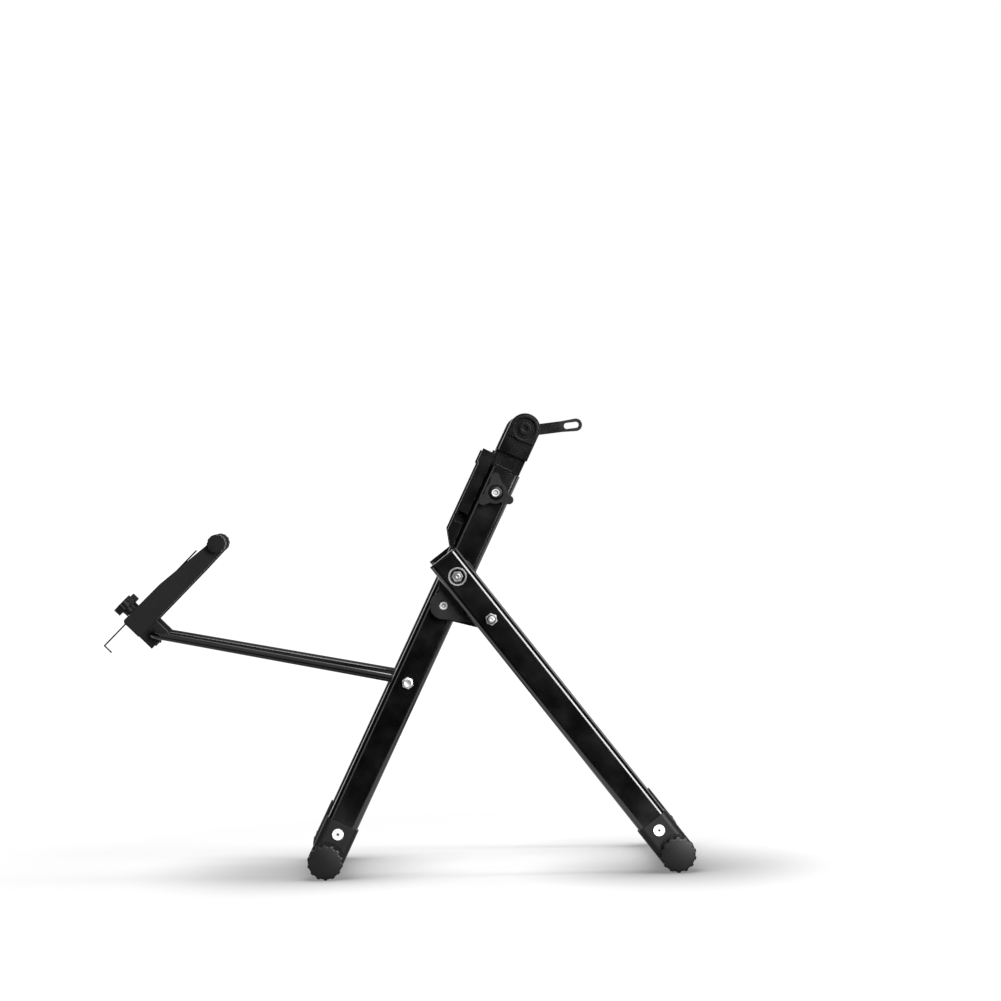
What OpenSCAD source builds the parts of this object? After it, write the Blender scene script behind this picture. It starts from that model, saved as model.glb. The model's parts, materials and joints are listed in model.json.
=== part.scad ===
// Folding bicycle wheel truing stand.
// The origin is the centre of the wheel axle, midway between the two axle cups.
// +X runs to the front feet, +Y from the near side to the far side, +Z is up.
// Everything on the near side is the far side's mirror image, apart from the lever and the wire.

/* [Stance] */
// Height of the wheel axle above the floor
axle_height = 420; // [390:1:450]
// Lean of the rear legs from vertical, in degrees
rear_lean = 26.5; // [23:0.1:29]
// Lean of the front legs from vertical, in degrees
front_lean = 36.7; // [34:0.1:41]
// Distance down the rear leg from the axle to the fold pivot
pivot_drop = 152.8; // [140:1:160]
// Distance between the faces of the two axle cups
hub_width = 100; // [96:1:104]

/* [Leg tubes] */
// Width of a leg tube in the plane of the wheel
tube_w = 30; // [28:0.5:32]
// Depth of a leg tube across the stand
tube_d = 20; // [18:0.5:22]
// Wall of a leg tube
tube_wall = 1.5; // [1.2:0.1:2]
// Outer corner radius of a leg tube
tube_corner = 5; // [4:0.5:6]
// Middle plane of the wheel to the inner face of a rear tube
rear_inner = 70; // [68:1:74]
// Top end of the rear tube, down from the axle
rear_top = 43.5; // [38:0.5:48]
// Length of front tube above the fold pivot
front_top = 21; // [19:0.5:24]
// Running gap between bodies that slide or swing past each other
gap = 0.3; // [0.2:0.05:0.4]

/* [Feet] */
// Half width across the flats of a levelling dial
dial_r = 17; // [16.5:0.1:18]
// Number of grip lobes on a levelling dial
dial_lobes = 14; // [12:2:18]
// Radius of the hollow between two lobes
dial_notch = 2.6; // [1.5:0.1:3]
// Height of the dome on a levelling dial's face
dial_dome = 1.6; // [0.5:0.1:2.5]
// Thickness of a levelling dial
dial_t = 8; // [6:0.5:9]
// How far the dial's turning axis lies below its centre
dial_throw = 2; // [1:0.25:2.5]
// Wall of the moulded foot round the tube
cap_wall = 1.5; // [1:0.1:1.8]
// Depth of the round seat round a dial in a foot's face
seat_sink = 0.7; // [0.4:0.1:1]
// Length of foot above the centre of its dial
cap_len = 39; // [36:0.5:42]
// Rivet to the centre of the dial, along the leg
rivet_up = 28.5; // [27:0.5:30]
// Clearance between the foot's round end and the floor
foot_clear = 0.35; // [0.3:0.05:0.5]
// Outer radius of a cross tube
cross_r = 11; // [10:0.5:12]
// Length of cross tube held in a foot
cross_seat = 16; // [12:0.5:18]
// Radius of the stub that a dial turns on
stub_r = 5; // [4:0.25:6]

/* [Fold joint] */
// Thickness of the moulded fold bracket
bracket_t = 12; // [11:0.5:14]
// Fold pivot to the bracket screw, down the rear leg
screw_drop = 31; // [28:0.5:32]
// Radius of the bracket's lobe round its screw
lobe_r = 12.7; // [11:0.1:13]
// Radius of the bracket's boss round the pivot
hub_r = 17; // [15:0.5:19]
// Fold pivot to the stop bolt, down the front leg
stop_reach = 51; // [50:0.5:54]
// Outer radius of the pivot bush
bush_r = 8.7; // [8:0.1:9.5]
// Radius of the M6 bolts
bolt_r = 3; // [2.5:0.1:3.2]
// Width across the flats of an M6 nut or head
hex_af = 10; // [9.5:0.1:10.5]
// Height of an M6 nut or head
hex_t = 4; // [3.5:0.1:5]
// Radial clearance of a bolt in its hole
fit = 0.05; // [0.02:0.01:0.08]

/* [Heads] */
// Width of a head in the plane of the wheel
head_w = 29; // [27:0.5:30]
// Bottom of the head's wide part, down from the axle
head_drop = 27.5; // [22:0.5:30]
// Depth of a head across the stand
head_d = 28; // [27:0.5:30]
// Lower end of the post inside the rear tube, down from the axle
post_end = 100; // [96:1:110]
// How far a head slides up its leg
head_lift = 25; // [15:1:30]
// Radius of an axle cup
cup_r = 9.5; // [9:0.1:10]
// Length of an axle cup
cup_len = 29; // [28:0.5:30]
// Radius of the hole for the wheel's axle end
axle_r = 5.1; // [5:0.05:5.3]
// Depth of the hole for the wheel's axle end
axle_deep = 6; // [5:0.25:6.5]
// How far the near cup draws back
cup_draw = 15; // [12:0.5:15]
// Radius of the cup screw and of the plunger rod
rod_r = 4; // [3.5:0.1:4.5]
// Head knob's axis, down from the axle
knob_drop = 66.5; // [60:0.5:70]
// Reach of a head knob's lobes
knob_reach = 18.5; // [17:0.5:20]
// Thickness of a head knob
knob_t = 11; // [9:0.5:13]

/* [Rails] */
// How far a rail stands proud of the back of its tube
rail_proud = 11.3; // [10:0.1:12]
// Lower end of a rail, down from the axle
rail_end = 132.5; // [120:1:134]
// Width of a rail across the stand
rail_d = 16; // [14:0.5:18]
// Wall of a rail
rail_wall = 2; // [1.5:0.1:2.5]

/* [Clamp lever] */
// Lever tip to the axle
lever_reach = 64; // [56:1:70]
// Width of the lever
lever_w = 12.7; // [11:0.1:14]
// Thickness of the lever's blade
lever_t = 5; // [4:0.5:6]
// Upward tilt of the closed lever, in degrees
lever_tilt = 5.5; // [0:1:15]
// Radius of the lever's cam
cam_r = 11; // [10.5:0.1:12]
// Offset of the cam from its pin
cam_throw = 5; // [4:0.5:6]

/* [Gauge] */
// Gauge pivot, down the rear leg from the axle
gauge_drop = 264.4; // [250:1:270]
// Gauge pivot to the cross bar
yoke_len = 248; // [235:1:260]
// Rise of the gauge rods towards the cross bar, in degrees
yoke_rise = 11.9; // [5:0.5:16]
// Radius of the gauge rod
yoke_r = 3.5; // [3:0.1:4]
// Half width of the yoke at its cross bar
yoke_half = 43; // [42:0.5:48]
// Inside radius of the yoke's bends, to the rod's centre
yoke_bend = 9; // [8:0.5:11]
// Radius of the flat eye at a rod's end
eye_r = 8; // [7:0.5:9]

/* [Caliper arms] */
// Tilt of the arms above level, in degrees
arm_tilt = 44.3; // [35:1:55]
// Thickness of an arm
arm_t = 10; // [9:0.5:11]
// Middle plane of the wheel to the middle of an arm
arm_mid = 26; // [25:0.5:27]
// Cross bar to the feeler's axis, along the arm
arm_reach = 104.5; // [95:0.1:110]
// Feeler's axis above the cross bar, square to the arm
arm_rise = 16.8; // [15:0.1:19]
// Radius of the boss round the feeler
tip_r = 8.9; // [8:0.1:10]
// Depth of the arm at the cross bar, from its front edge to its back edge
arm_deep = 22.4; // [21:0.1:24]
// Cross bar to the arm's front edge
arm_low = 7.5; // [7:0.1:8]
// Outer radius of the bush that slides on the cross bar
slide_r = 5.2; // [4.8:0.1:5.4]
// Length of the sliding bush
slide_len = 14; // [12:0.5:15]
// Radius of a T-knob's head
tee_r = 10.4; // [9:0.1:12]
// Height of a T-knob's head
tee_t = 7.3; // [6:0.1:9]
// Radius of a feeler screw
feeler_r = 2.5; // [2:0.1:3]
// Middle plane of the wheel to the face of a feeler pad
pad_face = 12.5; // [12.5:0.5:13.5]
// Radius of the radial wire
wire_r = 0.75; // [0.6:0.05:0.9]
// Radial wire above the cross bar, square to the arm
wire_rise = 26.5; // [26:0.1:27]
// Reach of the wire's tip past the cross bar, along the arm
wire_tip = 86; // [78:0.1:88]
// Reach of the wire's hook behind the cross bar
wire_back = 41.5; // [38:0.1:46]
// Length of the wire's hook
wire_hook = 9.5; // [7:0.1:12]

/* [Hidden] */
$fn = 64;

NEAR = -1;
FAR = 1;
eps = 0.01;

// Depths across the stand, measured outwards from the wheel's middle plane
rear_mid = rear_inner + tube_d / 2;
rear_outer = rear_inner + tube_d;
bracket_outer = rear_outer + bracket_t;
front_inner = bracket_outer + gap;
front_mid = front_inner + tube_d / 2;
front_outer = front_inner + tube_d;

// Legs: a point some way down a leg, the fold pivot, and each dial's centre
axle = [0, 0, 0];
function down(start, lean, s) = start + s * [-sin(lean), 0, -cos(lean)];
pivot = down(axle, rear_lean, pivot_drop);
dial_z = dial_r - axle_height;
rear_reach = -dial_z / cos(rear_lean);
front_reach = (pivot[2] - dial_z) / cos(front_lean);
rear_dial_at = down(axle, rear_lean, rear_reach);
front_dial_at = down(pivot, -front_lean, front_reach);
throw = [0, 0, -dial_throw];

// Feet
tube_stop = cross_r + 3;
rivet_head_r = 5.4;
rivet_head_t = 1.2;
rivet_r = 3.2;
rivet_pin_r = 1.2;

// Fold joint
lock_gap = 0.2;
stop_angle = front_lean + asin((bolt_r + lock_gap) / stop_reach);
wing_r = stop_reach - bolt_r - 0.8;
skirt_r = stop_reach + 1.5;
skirt_t = 5;
lug_r = stop_reach + 6;
lug_span = 10;
sink_r = 4.2;
sink_t = 5;
screw_r = 2.5;
nut_sink = 6.5;
ring_proud = 0.6;
ring_r = bush_r - 1.5;
pivot_af = hex_af - 0.6;

// Heads
head_in = rear_inner - 1;
head_out = head_in + head_d;
pad_rise = 4;
pad_r = 12.5;
recess_r = 10.4;
cup_face = hub_width / 2;
cup_back = cup_face + cup_len;
cup_wall_in = cup_back + cup_draw + 1;
post_w = tube_w - 2 * tube_wall - 2 * gap;
post_d = tube_d - 2 * tube_wall - 2 * gap;
post_corner = tube_corner - tube_wall - gap;
neck_w = head_w - 2;
neck_proud = 1.5;
pocket_t = 2;
block_w = 8;
groove_w = 9;
groove_t = 3;
insert_r = 7;
insert_t = 3;
clamp_r = 4;
knob_in = rear_outer + insert_t + gap;
knob_root = 8;
socket_r = 7.2;

// Rail, drawn behind the rear tube
rail_back = -tube_w / 2 - rail_proud;
rail_face = -tube_w / 2 - gap;
rail_top = 33;
rail_block = 13;
rail_taper = 15;
window_at = 101;
window_len = 10;

// Lever and cam
cam_face = head_out + pad_rise;
cam_pin_y = cam_face + cam_r - cam_throw;
cam_half = 8;
fork_half = rod_r + gap;
fork_deep = sqrt(rod_r * rod_r + (rod_r + 1) * (rod_r + 1)) + gap;
lever_neck = 11;
pin_r = 2.5;

// Gauge
gauge_at = down(axle, rear_lean, gauge_drop);
eye_out = rear_inner - gap;
eye_t = 2 * yoke_r;
eye_mid = eye_out - eye_t / 2;
yoke_in = atan((eye_mid - yoke_half) / yoke_len);
bend_cut = yoke_bend * tan((90 - yoke_in) / 2);
lap = 0.2;
swell = 0.02;
bar_at = gauge_at + yoke_len * [-cos(yoke_rise), 0, sin(yoke_rise)];

// Caliper arms, drawn with X along the arm and Z square to it
block_back = 11.5;
block_low = 8.4;
block_set = 1.5;
arm_back = 12;
arm_in = arm_mid - arm_t / 2;
arm_out = arm_mid + arm_t / 2;
boss_in = arm_in - 1;
boss_out = arm_out + 1;
arm_high = arm_low + arm_deep;
neck_r = 5.5;
neck_t = 5.7;
stem_r = 4;
key_w = 2;
key_t = 1.2;
pad_r_tip = 6;
pad_t = 2;
stem_back = boss_out - 5;
feeler_tip = arm_in - 3;
feeler_knob_t = 8;
wire_y = arm_in + wire_r + 0.1;

// ---------------------------------------------------------------- helpers

// Draws on the far side, or mirrored on the near side
module on_side(side) {
    if (side == FAR) children();
    else mirror([0, 1, 0]) children();
}

// Draws with local -Z running down a leg that starts at a point and leans
module on_leg(start, lean) {
    translate(start) rotate([0, lean, 0]) children();
}

module on_rear() {
    on_leg(axle, rear_lean) children();
}

module on_front() {
    on_leg(pivot, -front_lean) children();
}

// Round bar across the stand from one depth to another
module across(from, to, r) {
    translate([0, from, 0]) rotate([-90, 0, 0]) cylinder(r = r, h = to - from);
}

// Six-sided bar across the stand
module hex_across(from, to, af) {
    translate([0, from, 0]) rotate([-90, 0, 0]) cylinder(r = af / 2 / cos(30), h = to - from, $fn = 6);
}

// Extrudes a profile drawn in the X-Z plane from one depth to another
module slab(from, to) {
    translate([0, to, 0]) rotate([90, 0, 0]) linear_extrude(to - from) children();
}

// Rectangle with round corners
module round_rect(w, d, r) {
    square([w, d - 2 * r], center = true);
    square([w - 2 * r, d], center = true);
    for (x = [-1, 1], y = [-1, 1]) translate([x * (w / 2 - r), y * (d / 2 - r)]) circle(r = r);
}

// Bar of round-cornered section between two distances down a leg
module leg_bar(mid, top, bottom, w, d, r) {
    translate([0, mid, -bottom]) linear_extrude(bottom - top) round_rect(w, d, r);
}

module leg_tube(mid, top, bottom) {
    difference() {
        leg_bar(mid, top, bottom, tube_w, tube_d, tube_corner);
        leg_bar(mid, top - eps, bottom + eps, tube_w - 2 * tube_wall, tube_d - 2 * tube_wall,
            tube_corner - tube_wall);
    }
}

// Point at a radius and an angle from straight down, positive towards the front
function spoke(r, angle) = [r * sin(angle), -r * cos(angle)];

// ---------------------------------------------------------------- feet

// Moulded foot over the end of a leg, round at its end and with a stub for the dial
module foot(start, lean, reach, inner) {
    low = inner - cap_wall;
    high = inner + tube_d + cap_wall;
    hub = down(start, lean, reach) + throw;
    across_w = tube_w + 2 * cap_wall;
    end_r = dial_r - foot_clear;
    difference() {
        union() {
            on_leg(start, lean) intersection() {
                leg_bar((low + high) / 2, reach - cap_len, reach + end_r + 1, across_w, high - low,
                    tube_corner + cap_wall);
                slab(low - 1, high + 1) {
                    translate([0, -reach]) circle(r = end_r);
                    translate([-across_w, -reach]) square([2 * across_w, cap_len + 1]);
                }
            }
            translate(hub) across(high - 1, high + dial_t - 2, stub_r);
        }
        on_leg(start, lean)
            leg_bar(inner + tube_d / 2, reach - cap_len - 1, reach - tube_stop, tube_w, tube_d, tube_corner);
        translate(hub) across(low - 1, low + cross_seat, cross_r);
        on_leg(start, lean) translate([0, 0, rivet_up - reach]) across(high - 4, high + 1, rivet_r);
        translate(hub - throw) difference() {
            across(high - seat_sink, high + 1, dial_r + 1.5);
            translate(throw) across(high - 2, high + 2, stub_r);
        }
    }
}

// Blind rivet through the outer wall of a foot and its tube
module rivet(start, lean, reach, inner) {
    face = inner + tube_d + cap_wall;
    on_leg(start, lean) translate([0, 0, rivet_up - reach]) difference() {
        union() {
            across(face - cap_wall - tube_wall - 3, face, rivet_r);
            across(face, face + rivet_head_t, rivet_head_r);
            across(face - cap_wall - tube_wall - 4, face - cap_wall - tube_wall, rivet_r + 1);
        }
        across(face - 1, face + rivet_head_t + eps, rivet_pin_r);
    }
}

// Eccentric levelling dial: domed, flats between hollows, bored off centre for the foot's stub
module dial(centre, inner) {
    face = inner + tube_d + cap_wall + gap;
    step = 360 / dial_lobes;
    corner = dial_r / cos(step / 2);
    dome_r = (corner * corner + dial_dome * dial_dome) / (2 * dial_dome);
    difference() {
        intersection() {
            translate(centre) slab(face, face + dial_t) difference() {
                polygon([for (i = [0 : dial_lobes - 1]) spoke(corner, (i + 0.5) * step)]);
                for (i = [0 : dial_lobes - 1]) translate(spoke(corner + 0.4, (i + 0.5) * step))
                    circle(r = dial_notch);
            }
            translate(centre + [0, face + dial_t - dome_r, 0]) sphere(r = dome_r);
        }
        translate(centre + throw) across(face - eps, face + dial_t - 2, stub_r + fit);
    }
}

module cross_tube(centre, inner) {
    end = inner - cap_wall + cross_seat;
    translate(centre + throw) difference() {
        across(-end, end, cross_r);
        across(-end - eps, end + eps, cross_r - tube_wall);
    }
}

// ---------------------------------------------------------------- rear frame

module rear_leg(side) {
    color("#1c1c1d") on_side(side) on_rear() difference() {
        leg_tube(rear_mid, rear_top, rear_reach - tube_stop);
        for (s = [pivot_drop, gauge_drop])
            translate([0, 0, -s]) across(rear_inner - 1, rear_outer + 1, bolt_r + fit);
        translate([0, 0, -pivot_drop - screw_drop])
            across(rear_inner - 1, rear_outer + 1, screw_r + fit);
        translate([0, 0, -knob_drop]) across(rear_mid, rear_outer + 1, clamp_r + 1 + fit);
        translate([0, 0, rivet_up - rear_reach]) across(rear_mid, rear_outer + 1, rivet_r);
    }
}

module rear_leg_near() { rear_leg(NEAR); }
module rear_leg_far() { rear_leg(FAR); }

module rear_cross_tube() {
    color("#1c1c1d") cross_tube(rear_dial_at, rear_inner);
}

module rear_foot(side) {
    color("#2b2b2c") on_side(side) foot(axle, rear_lean, rear_reach, rear_inner);
}

module rear_foot_near() { rear_foot(NEAR); }
module rear_foot_far() { rear_foot(FAR); }

module rear_rivets() {
    color("#c9cbcd") for (side = [NEAR, FAR]) on_side(side) rivet(axle, rear_lean, rear_reach, rear_inner);
}

// Moulded plate between the legs: screwed to the rear leg, with a lug that stops the front leg
module fold_bracket(side) {
    color("#262627") on_side(side) translate(pivot) difference() {
        union() {
            slab(rear_outer, bracket_outer) {
                circle(r = hub_r);
                translate(spoke(screw_drop, -rear_lean)) circle(r = lobe_r);
                polygon([[0, hub_r * 0.6], spoke(hub_r, -rear_lean - 70),
                    spoke(screw_drop + lobe_r * 0.95, -rear_lean), spoke(wing_r * 0.9, -4),
                    spoke(wing_r, front_lean - 16), spoke(wing_r, front_lean), spoke(wing_r, stop_angle),
                    spoke(lug_r, stop_angle), spoke(lug_r, stop_angle + lug_span),
                    spoke(wing_r - 8, stop_angle + lug_span + 6), spoke(hub_r, front_lean + 70)]);
            }
            slab(rear_outer, rear_outer + skirt_t) polygon([[0, 0], spoke(screw_drop, -rear_lean),
                spoke(screw_drop + lobe_r * 0.97, 4 - rear_lean), spoke(skirt_r, front_lean - 17),
                spoke(skirt_r, stop_angle), spoke(lug_r - 1, stop_angle + 1)]);
        }
        across(rear_outer - 1, bracket_outer + 1, bolt_r + fit);
        translate(down(axle, rear_lean, screw_drop)) {
            across(rear_outer - 1, bracket_outer + 1, screw_r + fit);
            across(bracket_outer - sink_t, bracket_outer + 1, sink_r);
        }
        translate([spoke(35, 11)[0], 0, spoke(35, 11)[1]]) across(bracket_outer - 3, bracket_outer + 1, 2);
    }
}

module fold_bracket_near() { fold_bracket(NEAR); }
module fold_bracket_far() { fold_bracket(FAR); }

// Cap screws that hold the brackets to the rear legs
module bracket_screws() {
    color("#d0d2d4") for (side = [NEAR, FAR]) on_side(side) on_rear()
        translate([0, 0, -pivot_drop - screw_drop]) difference() {
            union() {
                across(rear_inner - nut_sink + 1, bracket_outer - sink_t, screw_r);
                across(bracket_outer - sink_t, bracket_outer - 1, sink_r - 0.3);
            }
            hex_across(bracket_outer - 3, bracket_outer, 4);
        }
}

module bracket_nuts() {
    color("#c2c4c6") for (side = [NEAR, FAR]) on_side(side) on_rear()
        translate([0, 0, -pivot_drop - screw_drop]) difference() {
            hex_across(rear_inner - hex_t, rear_inner, hex_af - 2);
            across(rear_inner - hex_t - 1, rear_inner + 1, screw_r + fit);
        }
}

// Fold pivot bolts: head inside the rear leg, nut sunk in the bush outside the front leg
module pivot_bolts() {
    color("#c9cbcd") for (side = [NEAR, FAR]) on_side(side) translate(pivot) rotate([0, rear_lean, 0]) {
        across(rear_inner - eps, front_outer - 0.5, bolt_r);
        hex_across(rear_inner - hex_t, rear_inner, hex_af);
    }
}

module pivot_nuts() {
    color("#d6d8da") for (side = [NEAR, FAR]) on_side(side) translate(pivot) difference() {
        hex_across(front_outer - nut_sink + gap, front_outer - nut_sink + gap + hex_t + 1, pivot_af);
        across(front_inner, front_outer + 2, bolt_r + fit);
    }
}

// Gauge pivot bolts: head outside the rear leg, nut inside the rod's eye
module gauge_bolts() {
    color("#d0d2d4") for (side = [NEAR, FAR]) on_side(side) on_rear() translate([0, 0, -gauge_drop]) {
        across(eye_out - eye_t - gap - hex_t - 1, rear_outer + eps, bolt_r);
        hex_across(rear_outer, rear_outer + hex_t, hex_af);
    }
}

module gauge_nuts() {
    color("#c2c4c6") for (side = [NEAR, FAR]) on_side(side) on_rear() translate([0, 0, -gauge_drop]) difference() {
        hex_across(eye_out - eye_t - gap - hex_t, eye_out - eye_t - gap, hex_af);
        across(0, rear_inner, bolt_r + fit);
    }
}

// Threaded bushes welded to the rear legs for the head knobs
module knob_inserts() {
    color("#b9bbbd") for (side = [NEAR, FAR]) on_side(side) on_rear() translate([0, 0, -knob_drop]) difference() {
        union() {
            across(rear_outer, rear_outer + insert_t, insert_r);
            across(rear_outer - tube_wall, rear_outer + eps, clamp_r + 1);
        }
        across(rear_mid, rear_outer + insert_t + 1, clamp_r + fit);
    }
}

// ---------------------------------------------------------------- front frame

module front_leg(side) {
    color("#1c1c1d") on_side(side) on_front() difference() {
        leg_tube(front_mid, -front_top, front_reach - tube_stop);
        across(front_inner - 1, front_outer + 1, bush_r);
        translate([0, 0, -stop_reach]) across(front_inner - 1, front_outer + 1, bolt_r + fit);
        translate([0, 0, rivet_up - front_reach]) across(front_mid, front_outer + 1, rivet_r);
    }
}

module front_leg_near() { front_leg(NEAR); }
module front_leg_far() { front_leg(FAR); }

module front_cross_tube() {
    color("#1c1c1d") cross_tube(front_dial_at, front_inner);
}

module front_foot(side) {
    color("#2b2b2c") on_side(side) foot(pivot, -front_lean, front_reach, front_inner);
}

module front_foot_near() { front_foot(NEAR); }
module front_foot_far() { front_foot(FAR); }

module front_rivets() {
    color("#c9cbcd") for (side = [NEAR, FAR]) on_side(side) rivet(pivot, -front_lean, front_reach, front_inner);
}

// Plugs that close the upper ends of the front legs
module front_end_plugs() {
    color("#262627") for (side = [NEAR, FAR]) on_side(side) on_front() {
        leg_bar(front_mid, -front_top - 1.5, -front_top, tube_w, tube_d, tube_corner);
        leg_bar(front_mid, -front_top - eps, -front_top + 8, tube_w - 2 * tube_wall, tube_d - 2 * tube_wall,
            tube_corner - tube_wall);
    }
}

// Stop bolts: the round head end meets the bracket's lug when the stand is open
module stop_bolts() {
    color("#b9bbbd") for (side = [NEAR, FAR]) on_side(side) on_front() translate([0, 0, -stop_reach])
        across(rear_outer + skirt_t + gap, front_outer + hex_t + 1.5, bolt_r);
}

module stop_nuts() {
    color("#d6d8da") for (side = [NEAR, FAR]) on_side(side) on_front() translate([0, 0, -stop_reach]) difference() {
        union() {
            hex_across(front_outer, front_outer + hex_t, hex_af);
            across(front_outer, front_outer + hex_t + 1, hex_af / 2 - 0.6);
        }
        across(front_outer - 1, front_outer + hex_t + 2, bolt_r + fit);
    }
}

// Steel bushes pressed into the front legs, counterbored for the pivot nuts
module pivot_bushes() {
    color("#d6d8da") for (side = [NEAR, FAR]) on_side(side) translate(pivot) difference() {
        across(front_inner, front_outer + ring_proud, bush_r);
        across(front_inner - 1, front_outer + 1, bolt_r + fit);
        across(front_outer - nut_sink, front_outer + 1, ring_r);
    }
}

// ---------------------------------------------------------------- levelling dials

module rear_dial_near() { color("#232324") on_side(NEAR) dial(rear_dial_at, rear_inner); }
module rear_dial_far() { color("#232324") on_side(FAR) dial(rear_dial_at, rear_inner); }
module front_dial_near() { color("#232324") on_side(NEAR) dial(front_dial_at, front_inner); }
module front_dial_far() { color("#232324") on_side(FAR) dial(front_dial_at, front_inner); }

// ---------------------------------------------------------------- heads

// Head: a round-topped housing for the axle cup on a post that telescopes in the rear tube
module head(side) {
    color("#29292a") on_side(side) on_rear() difference() {
        union() {
            slab(head_in, head_out) {
                circle(r = head_w / 2);
                translate([-head_w / 2, -head_drop]) square([head_w, head_drop]);
            }
            slab(head_out - eps, head_out + pad_rise) {
                circle(r = pad_r);
                translate([-pad_r, -pad_r + 1]) square([2 * pad_r, pad_r - 1]);
            }
            slab(head_in + 1, rear_outer + neck_proud)
                translate([-neck_w / 2, gap - rear_top]) square([neck_w, rear_top - gap - head_drop + 1]);
            leg_bar(rear_mid, rear_top - 2, post_end, post_w, post_d, post_corner);
        }
        across(head_in - 1, cup_wall_in, cup_r + fit);
        across(cup_wall_in - 1, head_out + 1, rod_r + fit);
        across(head_out, head_out + pad_rise + 1, recess_r);
        slab(rear_outer + neck_proud - pocket_t, rear_outer + neck_proud + 1)
            translate([2 - neck_w / 2, 2 - rear_top]) square([neck_w - block_w - 2, rear_top - head_drop - 4]);
        translate([-groove_w / 2, rear_mid + post_d / 2 - groove_t, -knob_drop - head_lift - clamp_r - 1])
            cube([groove_w, groove_t + 1, head_lift + 2 * clamp_r + 2]);
        translate([-neck_w / 2 - 1, rear_mid, -(head_drop + rear_top) / 2])
            rotate([0, 90, 0]) cylinder(r = 1.5 + fit, h = 10);
    }
}

module head_near() { head(NEAR); }
module head_far() { head(FAR); }

// Moulded rail behind the tube: a channel with an index window, hung from the head's neck
module head_rail(side) {
    half = rail_d / 2;
    color("#29292a") on_side(side) on_rear() difference() {
        union() {
            slab(rear_mid - half, rear_mid + half)
                polygon([[rail_face, -rail_top], [rail_back - 1.5, -rail_top], [rail_back - 1.5, -rail_top - rail_block],
                    [rail_back, -rail_top - rail_block - 1.5], [rail_back, -rail_end + rail_taper],
                    [rail_face - 1, -rail_end], [rail_face, -rail_end]]);
            translate([rail_face - 1, rear_mid - half, -rear_top + gap])
                cube([rail_face * -1 + 1 - neck_w / 2, rail_d, rear_top - gap - head_drop - gap]);
        }
        slab(rear_mid - half + rail_wall, rear_mid + half - rail_wall)
            polygon([[rail_face + eps, -rail_top - rail_block - 3], [rail_back + rail_wall, -rail_top - rail_block - 3],
                [rail_back + rail_wall, -rail_end + rail_taper], [rail_face + eps, -rail_end + rail_wall * 1.5]]);
        translate([rail_back + rail_wall, rear_mid, -window_at - window_len / 2])
            cube([rail_proud, rail_d, window_len]);
        translate([rail_back - 3, rear_mid, -(head_drop + rear_top) / 2])
            rotate([0, 90, 0]) cylinder(r = 1.5 + fit, h = tube_w);
        translate([rail_back - 3, rear_mid, -(head_drop + rear_top) / 2])
            rotate([0, 90, 0]) cylinder(r = 3, h = 5);
    }
}

module head_rail_near() { head_rail(NEAR); }
module head_rail_far() { head_rail(FAR); }

// Screw that holds a rail to its head's neck
module rail_screw(side) {
    color("#b9bbbd") on_side(side) on_rear() translate([rail_back + 0.4, rear_mid, -(head_drop + rear_top) / 2])
        rotate([0, 90, 0]) {
            cylinder(r = 2.8, h = 1.6);
            cylinder(r = 1.5, h = -rail_back - neck_w / 2 + 6);
        }
}

module rail_screw_near() { rail_screw(NEAR); }
module rail_screw_far() { rail_screw(FAR); }

// Three-lobed clamp knob with a socket that shows its screw's head
module head_knob(side) {
    lobe = 4.2;
    color("#2b2b2c") on_side(side) on_rear() translate([0, 0, -knob_drop]) rotate([0, -rear_lean, 0]) difference() {
        slab(knob_in, knob_in + knob_t) {
            circle(r = 10.5);
            for (a = [180, 300, 60]) rotate(a) {
                translate([0, lobe - knob_reach]) circle(r = lobe);
                polygon([[-knob_root, 0], [-lobe, lobe - knob_reach], [lobe, lobe - knob_reach],
                    [knob_root, 0]]);
            }
        }
        across(knob_in - 1, knob_in + knob_t + 1, clamp_r + fit);
        across(knob_in + knob_t - 5, knob_in + knob_t + 1, socket_r);
    }
}

module head_knob_near() { head_knob(NEAR); }
module head_knob_far() { head_knob(FAR); }

// Screw fixed in a head knob, whose tip clamps the head's post
module head_screw(side) {
    tip = rear_mid + post_d / 2 - groove_t + 0.1;
    top = knob_in + knob_t;
    color("#d6d8da") on_side(side) on_rear() translate([0, 0, -knob_drop]) {
        across(tip, top - 5 + eps, clamp_r);
        difference() {
            across(top - 5, top - 1.5, 4.9);
            hex_across(top - 3.5, top, 4.5);
        }
    }
}

module head_screw_near() { head_screw(NEAR); }
module head_screw_far() { head_screw(FAR); }

// Near axle cup, drawn in and out by a screw that is captive in the head
module axle_cup_near() {
    color("#3a3a3b") on_side(NEAR) difference() {
        across(cup_face, cup_back, cup_r);
        across(cup_face - 1, cup_face + axle_deep, axle_r);
        across(cup_face + axle_deep + 1.5, cup_back + 1, rod_r + fit);
    }
}

module cup_screw() {
    tip = cup_face + axle_deep + 1.5 + cup_draw + 0.4;
    color("#d6d8da") on_side(NEAR) difference() {
        union() {
            across(tip, head_out + eps, rod_r);
            across(head_out, head_out + pad_rise - 0.5, 5.6);
        }
        hex_across(head_out + 1, head_out + pad_rise, 5);
    }
}

// Far axle cup with its rod, pushed in by the lever's cam
module axle_plunger_far() {
    color("#3a3a3b") difference() {
        union() {
            across(cup_face, cup_back, cup_r);
            across(cup_back - eps, cam_pin_y + rod_r + 1, rod_r);
        }
        across(cup_face - 1, cup_face + axle_deep, axle_r);
        on_lever() cylinder(r = pin_r + fit, h = 3 * rod_r, center = true);
    }
}

// Steel disc in the far head's recess that the cam bears on
module cam_seat() {
    color("#b9bbbd") difference() {
        across(head_out, cam_face, recess_r - 0.1);
        across(head_out - 1, cam_face + 1, rod_r + fit);
    }
}

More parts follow.
